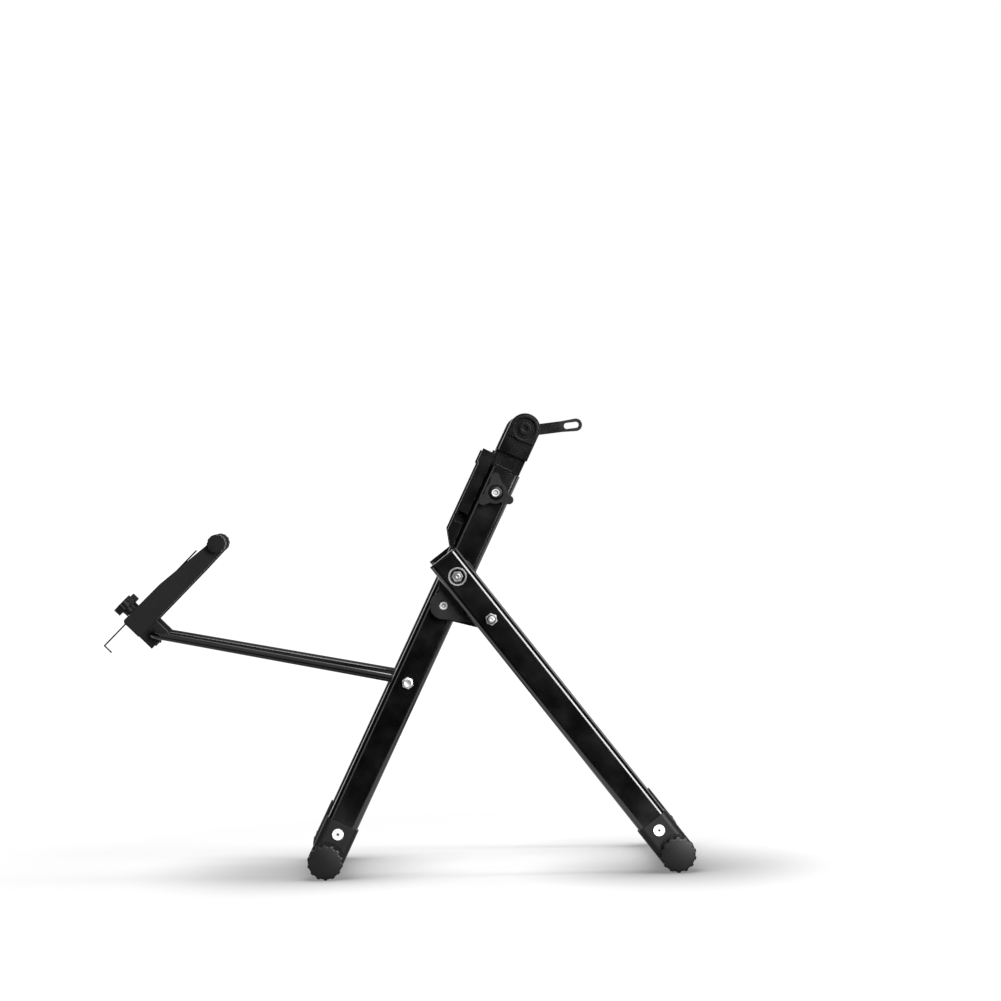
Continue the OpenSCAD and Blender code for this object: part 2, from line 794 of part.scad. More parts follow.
// Local frame of the lever: X along the blade, Y outwards, Z along the cam's pin
module on_lever() {
    translate([0, cam_pin_y, 0]) rotate([0, -lever_tilt, 0]) children();
}

// Cam lever with a slotted hand loop at its tip
module clamp_lever() {
    blade_y = cam_throw - lever_t / 2;
    loop_at = lever_reach - lever_w / 2;
    color("#1f1f20") on_lever() difference() {
        union() {
            translate([0, cam_throw, 0]) cylinder(r = cam_r - 0.1, h = 2 * cam_half, center = true);
            slab(blade_y, blade_y + lever_t) {
                polygon([[0, -lever_neck / 2], [loop_at - 14, -lever_neck / 2], [loop_at, -lever_w / 2],
                    [loop_at, lever_w / 2], [loop_at - 14, lever_neck / 2], [0, lever_neck / 2]]);
                translate([loop_at, 0]) circle(r = lever_w / 2);
            }
        }
        cylinder(r = pin_r + fit, h = 3 * cam_half, center = true);
        translate([-2 * cam_r, -2 * cam_r, -fork_half])
            cube([2 * cam_r + fork_deep, 2 * cam_r + fork_deep, 2 * fork_half]);
        slab(-cam_r, cam_r + 3 * cam_throw) {
            translate([loop_at - 9, -3]) square([9, 6]);
            translate([loop_at - 9, 0]) circle(r = 3);
            translate([loop_at, 0]) circle(r = 3);
        }
    }
}

module lever_pin() {
    color("#c9cbcd") on_lever() cylinder(r = pin_r, h = 2 * cam_half + 1.5, center = true);
}

// ---------------------------------------------------------------- gauge

// Local frame of the yoke: X from the gauge pivot to the cross bar, Y across the stand
module on_yoke() {
    translate(gauge_at) rotate([0, 180 + yoke_rise, 0]) children();
}

// One side of the yoke: bored flat eye, converging rod and bend
module yoke_side() {
    rod_start = eye_r - 1.5;
    rod_end = yoke_len / cos(yoke_in) - bend_cut + lap;
    translate([0, eye_mid, 0]) rotate([0, 0, -yoke_in]) rotate([0, 90, 0])
        translate([0, 0, rod_start]) cylinder(r = yoke_r, h = rod_end - rod_start);
    translate([yoke_len - yoke_bend, yoke_half - bend_cut, 0])
        rotate_extrude(angle = 90 - yoke_in) translate([yoke_bend, 0]) circle(r = yoke_r + swell);
    difference() {
        across(eye_out - eye_t, eye_out, eye_r);
        across(0, rear_inner, bolt_r + fit);
    }
}

// U-shaped rod that carries the calipers
module gauge_yoke() {
    color("#202021") on_yoke() {
        for (side = [NEAR, FAR]) on_side(side) yoke_side();
        translate([yoke_len, 0, 0]) across(bend_cut - yoke_half - lap, yoke_half - bend_cut + lap, yoke_r);
    }
}

// Local frame of an arm: X along it, Z square to it towards the T-knob
module on_arm(side) {
    on_side(side) translate(bar_at) rotate([0, -arm_tilt, 0]) children();
}

module slide_bush(side) {
    color("#3a3a3b") on_arm(side) difference() {
        across(arm_mid - slide_len / 2, arm_mid + slide_len / 2, slide_r);
        across(0, 2 * arm_mid, yoke_r + fit);
    }
}

module slide_bush_near() { slide_bush(NEAR); }
module slide_bush_far() { slide_bush(FAR); }

// Moulded caliper arm: ribbed block round the bush, tapering blade and a boss for the feeler
module caliper_arm(side) {
    bend = arm_reach - 66;
    color("#242425") on_arm(side) difference() {
        union() {
            slab(arm_in, arm_out) {
                polygon([[-arm_back, arm_low + 1.5], [1.5 - arm_back, arm_low], [arm_reach - 28, arm_low],
                    [arm_reach, arm_rise - tip_r + 0.2], [arm_reach, arm_rise + tip_r - 0.2],
                    [arm_reach - 8, arm_rise + 6], [bend, arm_high - 0.7], [2 - arm_back, arm_high],
                    [-arm_back, arm_high - 2]]);
            }
            slab(arm_in + block_set, arm_out - block_set)
                translate([-block_back, -block_low]) square([2 * block_back - 0.5, block_low + arm_low + 1]);
            translate([arm_reach, 0, arm_rise]) across(boss_in, boss_out, tip_r);
            for (i = [0 : 3]) translate([3.5 * i - 6.5, 0, -block_low - 0.8])
                translate([0, arm_in + block_set, 0]) cube([1.6, arm_t - 2 * block_set, 1.6]);
        }
        across(0, 2 * arm_mid, slide_r + fit);
        translate([0, arm_mid, 0]) cylinder(r = feeler_r + fit, h = arm_high + 1);
        translate([arm_reach, 0, arm_rise]) {
            across(boss_in - 1, stem_back + 3.5, stem_r + fit);
            across(stem_back, boss_out + 1, feeler_r + fit);
            translate([-key_w / 2 - fit, boss_in - 1, 0]) cube([key_w + 2 * fit, stem_back - boss_in + 4.5,
                stem_r + key_t + fit]);
        }
        if (side == NEAR) translate([-arm_back - 1, arm_in - 1, wire_rise - wire_r - fit])
            cube([arm_reach, 1 + 2 * wire_r + 0.2, 2 * wire_r + 2 * fit]);
    }
}

module caliper_arm_near() { caliper_arm(NEAR); }
module caliper_arm_far() { caliper_arm(FAR); }

// Fluted T-knob whose screw clamps the arm and its bush on the cross bar
module tee_knob(side) {
    flutes = 8;
    head_low = arm_high + gap + neck_t;
    color("#262627") on_arm(side) translate([0, arm_mid, 0]) {
        translate([0, 0, slide_r + 0.1]) cylinder(r = feeler_r, h = arm_high + gap - slide_r);
        translate([0, 0, arm_high + gap]) cylinder(r = neck_r, h = neck_t + eps);
        translate([0, 0, head_low]) linear_extrude(tee_t) difference() {
            circle(r = tee_r);
            for (i = [0 : flutes - 1]) rotate(i * 360 / flutes) translate([tee_r + 1.4, 0]) circle(r = 2.6);
        }
    }
}

module tee_knob_near() { tee_knob(NEAR); }
module tee_knob_far() { tee_knob(FAR); }

// Feeler pad on a keyed stem that slides in the arm's boss
module feeler_pad(side) {
    color("#3a3a3b") on_arm(side) translate([arm_reach, 0, arm_rise]) difference() {
        union() {
            across(pad_face, pad_face + pad_t, pad_r_tip);
            across(pad_face, stem_back, stem_r);
            translate([-key_w / 2, pad_face + pad_t, 0]) cube([key_w, stem_back - pad_face - pad_t, stem_r + key_t]);
        }
        across(pad_face + pad_t, stem_back + 1, feeler_r + fit);
    }
}

module feeler_pad_near() { feeler_pad(NEAR); }
module feeler_pad_far() { feeler_pad(FAR); }

// Feeler screw with a fluted knob
module feeler_screw(side) {
    flutes = 12;
    knob_low = boss_out + gap;
    color("#262627") on_arm(side) translate([arm_reach, 0, arm_rise]) {
        across(feeler_tip + 3, knob_low + eps, feeler_r);
        slab(knob_low, knob_low + feeler_knob_t) difference() {
            circle(r = tip_r);
            for (i = [0 : flutes - 1]) rotate(i * 360 / flutes) translate([tip_r + 0.7, 0]) circle(r = 1.5);
        }
    }
}

module feeler_screw_near() { feeler_screw(NEAR); }
module feeler_screw_far() { feeler_screw(FAR); }

// Radial wire in the near arm's groove, hooked at its lower end
module radial_wire() {
    color("#1a1a1b") on_arm(NEAR) translate([0, wire_y, wire_rise]) {
        translate([-wire_back, 0, 0]) rotate([0, 90, 0]) cylinder(r = wire_r, h = wire_back + wire_tip);
        translate([-wire_back, 0, 0]) sphere(r = wire_r);
        translate([-wire_back, 0, -wire_hook]) cylinder(r = wire_r, h = wire_hook);
    }
}

// ---------------------------------------------------------------- nodes

rear_leg_near();
rear_leg_far();
rear_cross_tube();
rear_foot_near();
rear_foot_far();
rear_rivets();
fold_bracket_near();
fold_bracket_far();
bracket_screws();
bracket_nuts();
pivot_bolts();
pivot_nuts();
gauge_bolts();
gauge_nuts();
knob_inserts();
front_leg_near();
front_leg_far();
front_cross_tube();
front_foot_near();
front_foot_far();
front_rivets();
front_end_plugs();
stop_bolts();
stop_nuts();
pivot_bushes();
rear_dial_near();
rear_dial_far();
front_dial_near();
front_dial_far();
head_near();
head_far();
head_rail_near();
head_rail_far();
rail_screw_near();
rail_screw_far();
head_knob_near();
head_knob_far();
head_screw_near();
head_screw_far();
axle_cup_near();
cup_screw();
axle_plunger_far();
cam_seat();
clamp_lever();
lever_pin();
gauge_yoke();
slide_bush_near();
slide_bush_far();
caliper_arm_near();
caliper_arm_far();
tee_knob_near();
tee_knob_far();
feeler_pad_near();
feeler_pad_far();
feeler_screw_near();
feeler_screw_far();
radial_wire();
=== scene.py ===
"""Bicycle wheel truing stand: its materials, small fastener parts, floor, light and camera.

Metres, +X to the front feet, +Y from the near side to the far side, +Z up. The origin is the
middle of the wheel's axle. Sizes of the small parts are in millimetres, turned into metres by MM.
"""
import json
import math

import bmesh
import bpy
from mathutils import Matrix, Vector


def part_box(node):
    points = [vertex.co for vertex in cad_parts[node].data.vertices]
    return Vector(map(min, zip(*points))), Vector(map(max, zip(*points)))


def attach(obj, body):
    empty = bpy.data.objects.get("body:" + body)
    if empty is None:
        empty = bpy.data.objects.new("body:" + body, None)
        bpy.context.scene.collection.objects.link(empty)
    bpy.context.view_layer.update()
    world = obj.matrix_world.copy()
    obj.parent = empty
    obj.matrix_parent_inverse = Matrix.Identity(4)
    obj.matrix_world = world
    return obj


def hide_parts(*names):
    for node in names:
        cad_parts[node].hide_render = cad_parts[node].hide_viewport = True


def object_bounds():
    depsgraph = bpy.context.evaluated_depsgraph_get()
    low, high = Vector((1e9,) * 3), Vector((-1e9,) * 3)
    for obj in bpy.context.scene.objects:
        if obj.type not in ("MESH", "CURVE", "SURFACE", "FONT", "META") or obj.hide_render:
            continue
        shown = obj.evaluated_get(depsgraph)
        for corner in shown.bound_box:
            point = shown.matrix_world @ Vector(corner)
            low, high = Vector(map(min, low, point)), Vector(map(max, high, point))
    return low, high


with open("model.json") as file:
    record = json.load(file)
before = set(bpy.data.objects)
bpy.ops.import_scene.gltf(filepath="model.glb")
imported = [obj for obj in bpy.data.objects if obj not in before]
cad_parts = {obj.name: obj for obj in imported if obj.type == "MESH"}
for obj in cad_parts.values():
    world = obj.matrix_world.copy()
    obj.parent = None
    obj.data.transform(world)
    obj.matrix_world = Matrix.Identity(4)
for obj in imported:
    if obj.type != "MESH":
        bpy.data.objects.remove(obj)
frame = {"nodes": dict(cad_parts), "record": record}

CAD_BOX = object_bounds()
MM = 0.001
WHITE = (1.0, 1.0, 1.0)

# Camera, fitted to the joints' places in the picture: yaw to the right, pitch up, roll
CAMERA_AT = Vector((-0.0978, -3.3, -0.0493))
CAMERA_YAW = 0.02267
CAMERA_PITCH = -0.00553
CAMERA_ROLL = 0.03067
FOCAL_PX = 3397.9
IMAGE_PX = 1001
SENSOR_MM = 36.0

# How far the two pairs of legs lean from upright, the front pair towards +X
FRONT_LEAN = math.radians(36.7)
REAR_LEAN = math.radians(-26.5)


def grey(value):
    """Linear grey for a value from 0 to 255 as a screen shows it."""
    v = value / 255
    linear = v / 12.92 if v <= 0.04045 else ((v + 0.055) / 1.055) ** 2.4
    return (linear, linear, linear)


# ---------------------------------------------------------------- materials

def mapped(nodes, links, source, low, high):
    """Spreads the middle of a noise, where most of its values lie, over a range."""
    ramp = nodes.new("ShaderNodeMapRange")
    ramp.inputs["From Min"].default_value = 0.3
    ramp.inputs["From Max"].default_value = 0.7
    ramp.inputs["To Min"].default_value = low
    ramp.inputs["To Max"].default_value = high
    links.new(source, ramp.inputs["Value"])
    return ramp.outputs["Result"]


def noise(nodes, links, scale, detail=4.0, stretch=None):
    """Solid noise in the object's own metres, drawn out along an axis where asked."""
    place = nodes.new("ShaderNodeTexCoord")
    texture = nodes.new("ShaderNodeTexNoise")
    texture.inputs["Scale"].default_value = scale
    texture.inputs["Detail"].default_value = detail
    source = place.outputs["Object"]
    if stretch:
        mapping = nodes.new("ShaderNodeMapping")
        mapping.inputs["Scale"].default_value = stretch
        links.new(source, mapping.inputs["Vector"])
        source = mapping.outputs["Vector"]
    links.new(source, texture.inputs["Vector"])
    return texture.outputs["Fac"]


def edge_mask(nodes, links, radius):
    """0 on flat ground, rising to 1 where two faces meet, and the rounded normal that goes with it."""
    bevel = nodes.new("ShaderNodeBevel")
    bevel.samples = 4
    bevel.inputs["Radius"].default_value = radius
    flat = nodes.new("ShaderNodeNewGeometry")
    dot = nodes.new("ShaderNodeVectorMath")
    dot.operation = "DOT_PRODUCT"
    links.new(bevel.outputs["Normal"], dot.inputs[0])
    links.new(flat.outputs["Normal"], dot.inputs[1])
    ramp = nodes.new("ShaderNodeMapRange")
    ramp.inputs["From Min"].default_value = 0.995
    ramp.inputs["From Max"].default_value = 0.80
    links.new(dot.outputs["Value"], ramp.inputs["Value"])
    return ramp.outputs["Result"], bevel.outputs["Normal"]


def crevice_shade(nodes, links, reach, low):
    """Painted shade: 1 on open ground, falling towards a darker value where surfaces close in on each
    other.
    """
    shade = nodes.new("ShaderNodeAmbientOcclusion")
    shade.samples = 6
    shade.inputs["Distance"].default_value = reach
    ramp = nodes.new("ShaderNodeMapRange")
    ramp.inputs["From Min"].default_value = 0.35
    ramp.inputs["From Max"].default_value = 0.9
    ramp.inputs["To Min"].default_value = low
    ramp.inputs["To Max"].default_value = 1.0
    links.new(shade.outputs["AO"], ramp.inputs["Value"])
    return ramp.outputs["Result"]


def product(nodes, links, first, second):
    """One output times another."""
    node = nodes.new("ShaderNodeMath")
    node.operation = "MULTIPLY"
    links.new(first, node.inputs[0])
    links.new(second, node.inputs[1])
    return node.outputs["Value"]


def surface(name, color, worn_and_sheen, rough, spread, grain, bump, edge, wear_and_sheen, metallic=0.0, stretch=None,
            specular=0.3, crevice=0.004, crevice_low=0.35):
    """A procedural material: edges paled partly as wear and partly as a painted highlight, painted shade in
    crevices, uneven in gloss, finely grained.
    """
    material = bpy.data.materials.new(name)
    material.use_nodes = True
    nodes, links = material.node_tree.nodes, material.node_tree.links
    shader = nodes["Principled BSDF"]
    shader.inputs["Metallic"].default_value = metallic
    shader.inputs["Specular IOR Level"].default_value = specular
    patches = noise(nodes, links, 45.0, 5.0)
    links.new(mapped(nodes, links, patches, rough - spread, rough + spread), shader.inputs["Roughness"])
    mask, rounded = edge_mask(nodes, links, edge)
    # The edges' paler colour is partly wear and partly a painted highlight.
    rubbed_and_sheen = mapped(nodes, links, noise(nodes, links, 260.0), wear_and_sheen * 0.4, wear_and_sheen)
    scuff_and_sheen = product(nodes, links, mask, rubbed_and_sheen)
    blend = nodes.new("ShaderNodeMix")
    blend.data_type = "RGBA"
    blend.inputs["A"].default_value = (*color, 1.0)
    blend.inputs["B"].default_value = (*worn_and_sheen, 1.0)
    links.new(scuff_and_sheen, blend.inputs["Factor"])
    mottle = mapped(nodes, links, noise(nodes, links, 120.0, 5.0), 0.9, 1.06)
    tone = nodes.new("ShaderNodeVectorMath")
    tone.operation = "SCALE"
    links.new(blend.outputs["Result"], tone.inputs["Vector"])
    # The base colour is darkened by painted shade in crevices, and mottled at random.
    links.new(product(nodes, links, mottle, crevice_shade(nodes, links, crevice, crevice_low)),
              tone.inputs["Scale"])
    links.new(tone.outputs["Vector"], shader.inputs["Base Color"])
    relief = nodes.new("ShaderNodeBump")
    relief.inputs["Strength"].default_value = bump
    relief.inputs["Distance"].default_value = 0.00005
    links.new(noise(nodes, links, grain, 3.0, stretch), relief.inputs["Height"])
    links.new(rounded, relief.inputs["Normal"])
    links.new(relief.outputs["Normal"], shader.inputs["Normal"])
    return material


# Each material's grey and its paler grey at the edges, partly wear and partly a painted highlight, as a
# screen shows them, its roughness and the roughness's spread, the grain's scale and depth, the edges'
# radius and the strength of that wear and highlight, and what else sets it apart. All are slots of the
# record but the rivets' paler zinc, dull_zinc, bracket_satin and plain_knob.
MATERIALS = {
    "tube_gloss": (11, 50, 0.17, 0.04, 500.0, 0.06, 0.0006, 0.25, {"specular": 0.8}),
    "foot_plastic": (25, 66, 0.5, 0.06, 1400.0, 0.35, 0.0006, 0.3, {"specular": 0.25}),
    "dial_rubber": (16, 58, 0.42, 0.06, 1200.0, 0.3, 0.0005, 0.3, {"specular": 0.26}),
    "moulding": (8, 120, 0.26, 0.06, 1400.0, 0.3, 0.0007, 0.7, {"specular": 0.17}),
    "bracket_satin": (27, 84, 0.34, 0.06, 1400.0, 0.3, 0.0009, 0.4, {"specular": 0.32}),
    "knob_plastic": (20, 70, 0.36, 0.06, 1200.0, 0.3, 0.0008, 0.3, {"specular": 0.22}),
    "zinc": (198, 248, 0.35, 0.1, 500.0, 0.3, 0.0004, 0.6,
             {"metallic": 1.0, "crevice": 0.002, "crevice_low": 0.1}),
    # Zinc painted paler for the rivets as a highlight on their faces, with painted shade deep in their
    # holes
    "rivet_highlit_zinc": (246, 255, 0.45, 0.08, 700.0, 0.2, 0.0003, 0.5,
                   {"metallic": 1.0, "crevice": 0.0022, "crevice_low": 0.04}),
    "dull_zinc": (136, 190, 0.38, 0.12, 500.0, 0.4, 0.0004, 0.6,
                  {"metallic": 1.0, "crevice": 0.002, "crevice_low": 0.1}),
    "plain_knob": (12, 30, 0.5, 0.05, 1200.0, 0.3, 0.0004, 0.2, {"specular": 0.16}),
    "cup_steel": (70, 150, 0.34, 0.08, 600.0, 0.15, 0.0003, 0.5,
                  {"metallic": 1.0, "stretch": (1.0, 0.05, 1.0)}),
    "lever_black": (5, 96, 0.22, 0.05, 900.0, 0.12, 0.0008, 0.4, {"specular": 0.28}),
    "rod_black": (9, 60, 0.2, 0.05, 700.0, 0.1, 0.0004, 0.3, {"specular": 0.34}),
    "bush_plastic": (12, 50, 0.4, 0.06, 1200.0, 0.3, 0.0004, 0.3, {"specular": 0.2}),
    "arm_plastic": (16, 52, 0.52, 0.06, 1500.0, 0.4, 0.0006, 0.3, {"specular": 0.22}),
    "feeler_plastic": (15, 64, 0.45, 0.06, 1200.0, 0.3, 0.0005, 0.3, {"specular": 0.3}),
}


def object_materials():
    """The material for each row of the table above."""
    made = {}
    for name, (tone, worn_and_sheen, rough, spread, grain, bump, edge, wear_and_sheen, extra) in MATERIALS.items():
        made[name] = surface(name, grey(tone), grey(worn_and_sheen), rough, spread, grain, bump, edge, wear_and_sheen, **extra)
    return made


# Nodes and pieces that look paler, duller or plainer than the rest of their slot; the rivets' paler zinc is
# a painted highlight on their faces
OWN_FACE = {"rear_rivets": "rivet_highlit_zinc", "front_rivets": "rivet_highlit_zinc", "pivot_bolts": "dull_zinc",
            "pivot_nuts": "dull_zinc", "pivot_bushes": "dull_zinc", "tee_knob_near": "plain_knob",
            "tee_knob_far": "plain_knob", "fold_bracket_near": "bracket_satin",
            "fold_bracket_far": "bracket_satin", "pivot_bolt_end_near": "dull_zinc",
            "pivot_bolt_end_far": "dull_zinc"}


def dress(materials):
    """Gives every CAD node the material of its slot, or the shade that OWN_FACE names for it."""
    for part in frame["record"]["subparts"]:
        node = frame["nodes"][part["node"]]
        node.data.materials.clear()
        node.data.materials.append(materials[OWN_FACE.get(part["node"], part["material_slot"])])


# ---------------------------------------------------------------- small fastener parts

BOLT_R = 3.0
HEX_R = 5.0
TURN_STEPS = 48
SHARP = math.radians(35)


def turned(name, body, slot, materials, at, facing, profile):
    """A part turned round a line across the stand: (radius, height) points in mm from an outer face."""
    form = bmesh.new()
    rings = []
    for radius, height in profile:
        ring = []
        for step in range(TURN_STEPS if radius else 1):
            turn = 2 * math.pi * step / TURN_STEPS
            ring.append(form.verts.new((at[0] + radius * MM * math.cos(turn), at[1] + facing * height * MM,
                                        at[2] + radius * MM * math.sin(turn))))
        rings.append(ring)
    for inner, outer in zip(rings, rings[1:]):
        for step in range(TURN_STEPS):
            after = (step + 1) % TURN_STEPS
            corners = [inner[step % len(inner)], inner[after % len(inner)], outer[after % len(outer)],
                       outer[step % len(outer)]]
            form.faces.new(list(dict.fromkeys(corners)))
    return finished(name, body, slot, materials, form)


def outer_face(node, side):
    """Middle of the face of a node that looks away from the wheel, on one side of the stand."""
    low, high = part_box(node)
    return ((low[0] + high[0]) / 2, high[1] if side > 0 else low[1], (low[2] + high[2]) / 2)


def skin(name, body, slot, materials, rings, tip):
    """A smooth piece over a stack of closed rings of points, closed by a point at its tip."""
    form = bmesh.new()
    loops = [[form.verts.new(point) for point in ring] for ring in rings]
    count = len(rings[0])
    for lower, upper in zip(loops, loops[1:]):
        for i in range(count):
            j = (i + 1) % count
            form.faces.new((lower[i], lower[j], upper[j], upper[i]))
    end = form.verts.new(tip)
    for i in range(count):
        form.faces.new((loops[-1][i], loops[-1][(i + 1) % count], end))
    return finished(name, body, slot, materials, form)


def finished(name, body, slot, materials, form):
    """Turns a bmesh into a smooth piece that rides on a body and takes the material of its slot, or the one
    that OWN_FACE names for it.
    """
    bmesh.ops.recalc_face_normals(form, faces=form.faces)
    for face in form.faces:
        face.smooth = True
    mesh = bpy.data.meshes.new(name)
    form.to_mesh(mesh)
    form.free()
    mesh.set_sharp_from_angle(angle=SHARP)
    mesh.materials.append(materials[OWN_FACE.get(name, slot)])
    piece = bpy.data.objects.new(name, mesh)
    bpy.context.scene.collection.objects.link(piece)
    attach(piece, body)
    return piece


# Profiles of the turned parts: (radius, height) in mm from the face that they sit on
BOLT_END = [(0.0, -0.3), (0.9, 0.05), (2.2, 0.15), (BOLT_R - 0.25, 0.0), (BOLT_R + 0.02, -0.4)]
LOCK_RING = [(BOLT_R + 0.1, -0.6), (BOLT_R + 0.1, 0.05), (BOLT_R + 0.4, 0.15), (BOLT_R + 1.0, 0.15),
             (BOLT_R + 1.2, 0.02), (BOLT_R + 1.2, -0.6)]
HEAD_CROWN = [(0.0, 0.05), (2.3, 0.05), (2.8, 0.35), (HEX_R - 0.8, 0.3), (HEX_R - 0.2, -0.02)]
# Painted shade: a dark ring in the pivot bush's recess round its nut
RECESS_SHADE_RING = [(5.6, -7.1), (5.6, -3.6), (5.9, -3.4), (6.8, -3.4), (7.1, -3.6), (7.1, -7.1)]
# Painted shade: a dark disc in each rivet's hole
RIVET_HOLE_SHADE = [(0.0, -0.1), (1.5, -0.1), (1.9, 0.05), (2.0, -0.3)]
# Painted shade: a dark ring over the rim of the knob's screw head and the socket round it
KNOB_SOCKET_SHADE = [(3.7, -1.2), (3.7, 0.15), (4.0, 0.4), (5.2, 0.1), (7.1, -0.6), (7.1, -1.4)]

# Turned parts of the two frames: name, body, slot, node that each sits on, profile
FRAME_FASTENERS = [
    ("pivot_bolt_end", "rear_frame", "zinc", "pivot_bolts", BOLT_END),
    # A dark ring of painted shade in the pivot's recess
    ("pivot_recess_shade", "front_frame", "bush_plastic", "pivot_bushes", RECESS_SHADE_RING),
    ("stop_bolt_end", "front_frame", "zinc", "stop_bolts", BOLT_END),
    ("stop_lock_ring", "front_frame", "bush_plastic", "stop_nuts", LOCK_RING),
    ("gauge_head_crown", "rear_frame", "zinc", "gauge_bolts", HEAD_CROWN),
    # Dark discs of painted shade in the rivets' holes
    ("rear_rivet_hole_shade", "rear_frame", "bush_plastic", "rear_rivets", RIVET_HOLE_SHADE),
    ("front_rivet_hole_shade", "front_frame", "bush_plastic", "front_rivets", RIVET_HOLE_SHADE),
]

# Levelling dials: grip lobes, points round each, radius of the hollows between them and how far
# their centres lie outside the corners, rise of the dome, depth that its rim rounds over, chamfer
# of the back edge, radius of the bore behind, and the shares of the radius at which the dome's
# rings lie
DIAL_LOBES = 14
LOBE_POINTS = 12
DIAL_NOTCH = 2.6
NOTCH_OUT = 0.4
DIAL_DOME = 1.6
DIAL_RIM = 0.6
BACK_CHAMFER = 0.3
DIAL_BORE = 12.0
DOME_RINGS = (0.86, 0.7, 0.5, 0.3, 0.12)


def dial_radius(flat, angle):
    """Distance from a dial's centre to its grip outline: flats between round hollows, in mm."""
    step = 2 * math.pi / DIAL_LOBES
    corner = flat / math.cos(step / 2)
    from_flat = angle % step - step / 2
    radius = flat / math.cos(from_flat)
    hollow = corner + NOTCH_OUT
    from_hollow = (angle + step / 2) % step - step / 2
    reach = DIAL_NOTCH ** 2 - (hollow * math.sin(from_hollow)) ** 2
    if reach > 0:
        radius = min(radius, hollow * math.cos(from_hollow) - math.sqrt(reach))
    return radius


def build_dial(name, side, materials):
    """A levelling dial with a smooth domed face and a rounded rim, where the CAD's dial is."""
    low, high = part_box(name)
    centre = ((low[0] + high[0]) / 2, low[1] if side > 0 else high[1], (low[2] + high[2]) / 2)
    flat = (high[2] - low[2]) / 2 / MM
    deep = (high[1] - low[1]) / MM
    corner = flat / math.cos(math.pi / DIAL_LOBES)
    dome_r = (corner ** 2 + DIAL_DOME ** 2) / (2 * DIAL_DOME)
    count = LOBE_POINTS * DIAL_LOBES
    outline = [dial_radius(flat, 2 * math.pi * i / count) for i in range(count)]

    def dome(radius):
        """Height of the dome over the dial's back, in mm."""
        return deep - dome_r + math.sqrt(dome_r ** 2 - radius ** 2)

    def ring(radii, heights):
        """A closed ring of points from radii and heights in mm."""
        points = []
        for i, (radius, height) in enumerate(zip(radii, heights)):
            turn = 2 * math.pi * i / count
            points.append((centre[0] + radius * MM * math.cos(turn), centre[1] + side * height * MM,
                           centre[2] + radius * MM * math.sin(turn)))
        return points

    rings = [ring([DIAL_BORE] * count, [0.0] * count),
             ring([r - BACK_CHAMFER for r in outline], [0.0] * count),
             ring(outline, [BACK_CHAMFER] * count),
             ring(outline, [dome(r) - DIAL_RIM for r in outline])]
    for inset, drop in ((0.15, 0.25), (0.5, 0.0)):
        rings.append(ring([r - inset for r in outline], [dome(r - inset) - drop for r in outline]))
    for share in DOME_RINGS:
        radii = [share * ((r - flat) * share + flat) for r in outline]
        rings.append(ring(radii, [dome(r) for r in radii]))
    tip = (centre[0], centre[1] + side * deep * MM, centre[2])
    piece = skin(name + "_smooth", name, "dial_rubber", materials, rings, tip)
    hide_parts(name)


def build_fasteners(materials):
    """Bolt ends, lock rings, head crowns, and dark pieces of painted shade in the rivets' holes, the
    pivots' recesses and round the knobs' screws, on both sides.
    """
    for tag, side in (("near", -1), ("far", 1)):
        for name, body, slot, seat, profile in FRAME_FASTENERS:
            turned(f"{name}_{tag}", body, slot, materials, outer_face(seat, side), side, profile)
        # A dark ring of painted shade round each knob's screw
        turned("knob_socket_shade_" + tag, "head_knob_" + tag, "bush_plastic", materials,
               outer_face("head_screw_" + tag, side), side, KNOB_SOCKET_SHADE)


# ---------------------------------------------------------------- floor, light and camera

FLOOR_Z = CAD_BOX[0][2]
FLOOR_SIZE = 60.0
FLOOR_ALBEDO = 0.25
FLOOR_GLOW = 0.7
CONTACT_REACH = 0.12
SKY_STRENGTH = 0.4

# The painted soft shadows under the feet: half sizes along x and y, and the tubes whose middle each is
# measured from, with its shift along x and y
SHADOW_HALF = (0.17, 0.24)
SHADOW_LOW = 0.6
FOOT_SHADOWS = (("rear_cross_tube", -0.04, -0.01), ("front_cross_tube", 0.012, -0.085))

# The point that the lamps face, the way from the camera into the picture, and how far the gleam
# panels stand off and how tall they are
LIT_POINT = Vector((0.0, 0.0, -0.2))
AWAY = Vector((0.0, 1.0, 0.0))
GLEAM_DISTANCE = 1.9
GLEAM_LENGTH = 1.5


def looked_at(nodes, links):
    """1 for a ray that comes from the camera, from a mirror-like surface or through glass."""
    path = nodes.new("ShaderNodeLightPath")
    total = path.outputs["Is Camera Ray"]
    for kind in ("Is Glossy Ray", "Is Transmission Ray"):
        either = nodes.new("ShaderNodeMath")
        either.operation = "MAXIMUM"
        links.new(total, either.inputs[0])
        links.new(path.outputs[kind], either.inputs[1])
        total = either.outputs["Value"]
    return total


def contact_shade(nodes, links):
    """Painted shade: 1 on open ground, falling where feet and tubes close in on it."""
    shade = nodes.new("ShaderNodeAmbientOcclusion")
    shade.samples = 12
    shade.inputs["Distance"].default_value = CONTACT_REACH
    ramp = nodes.new("ShaderNodeMapRange")
    ramp.inputs["From Min"].default_value = 0.55
    ramp.inputs["From Max"].default_value = 1.0
    ramp.inputs["To Min"].default_value = 0.5
    ramp.inputs["To Max"].default_value = 1.0
    links.new(shade.outputs["AO"], ramp.inputs["Value"])
    return ramp.outputs["Result"]


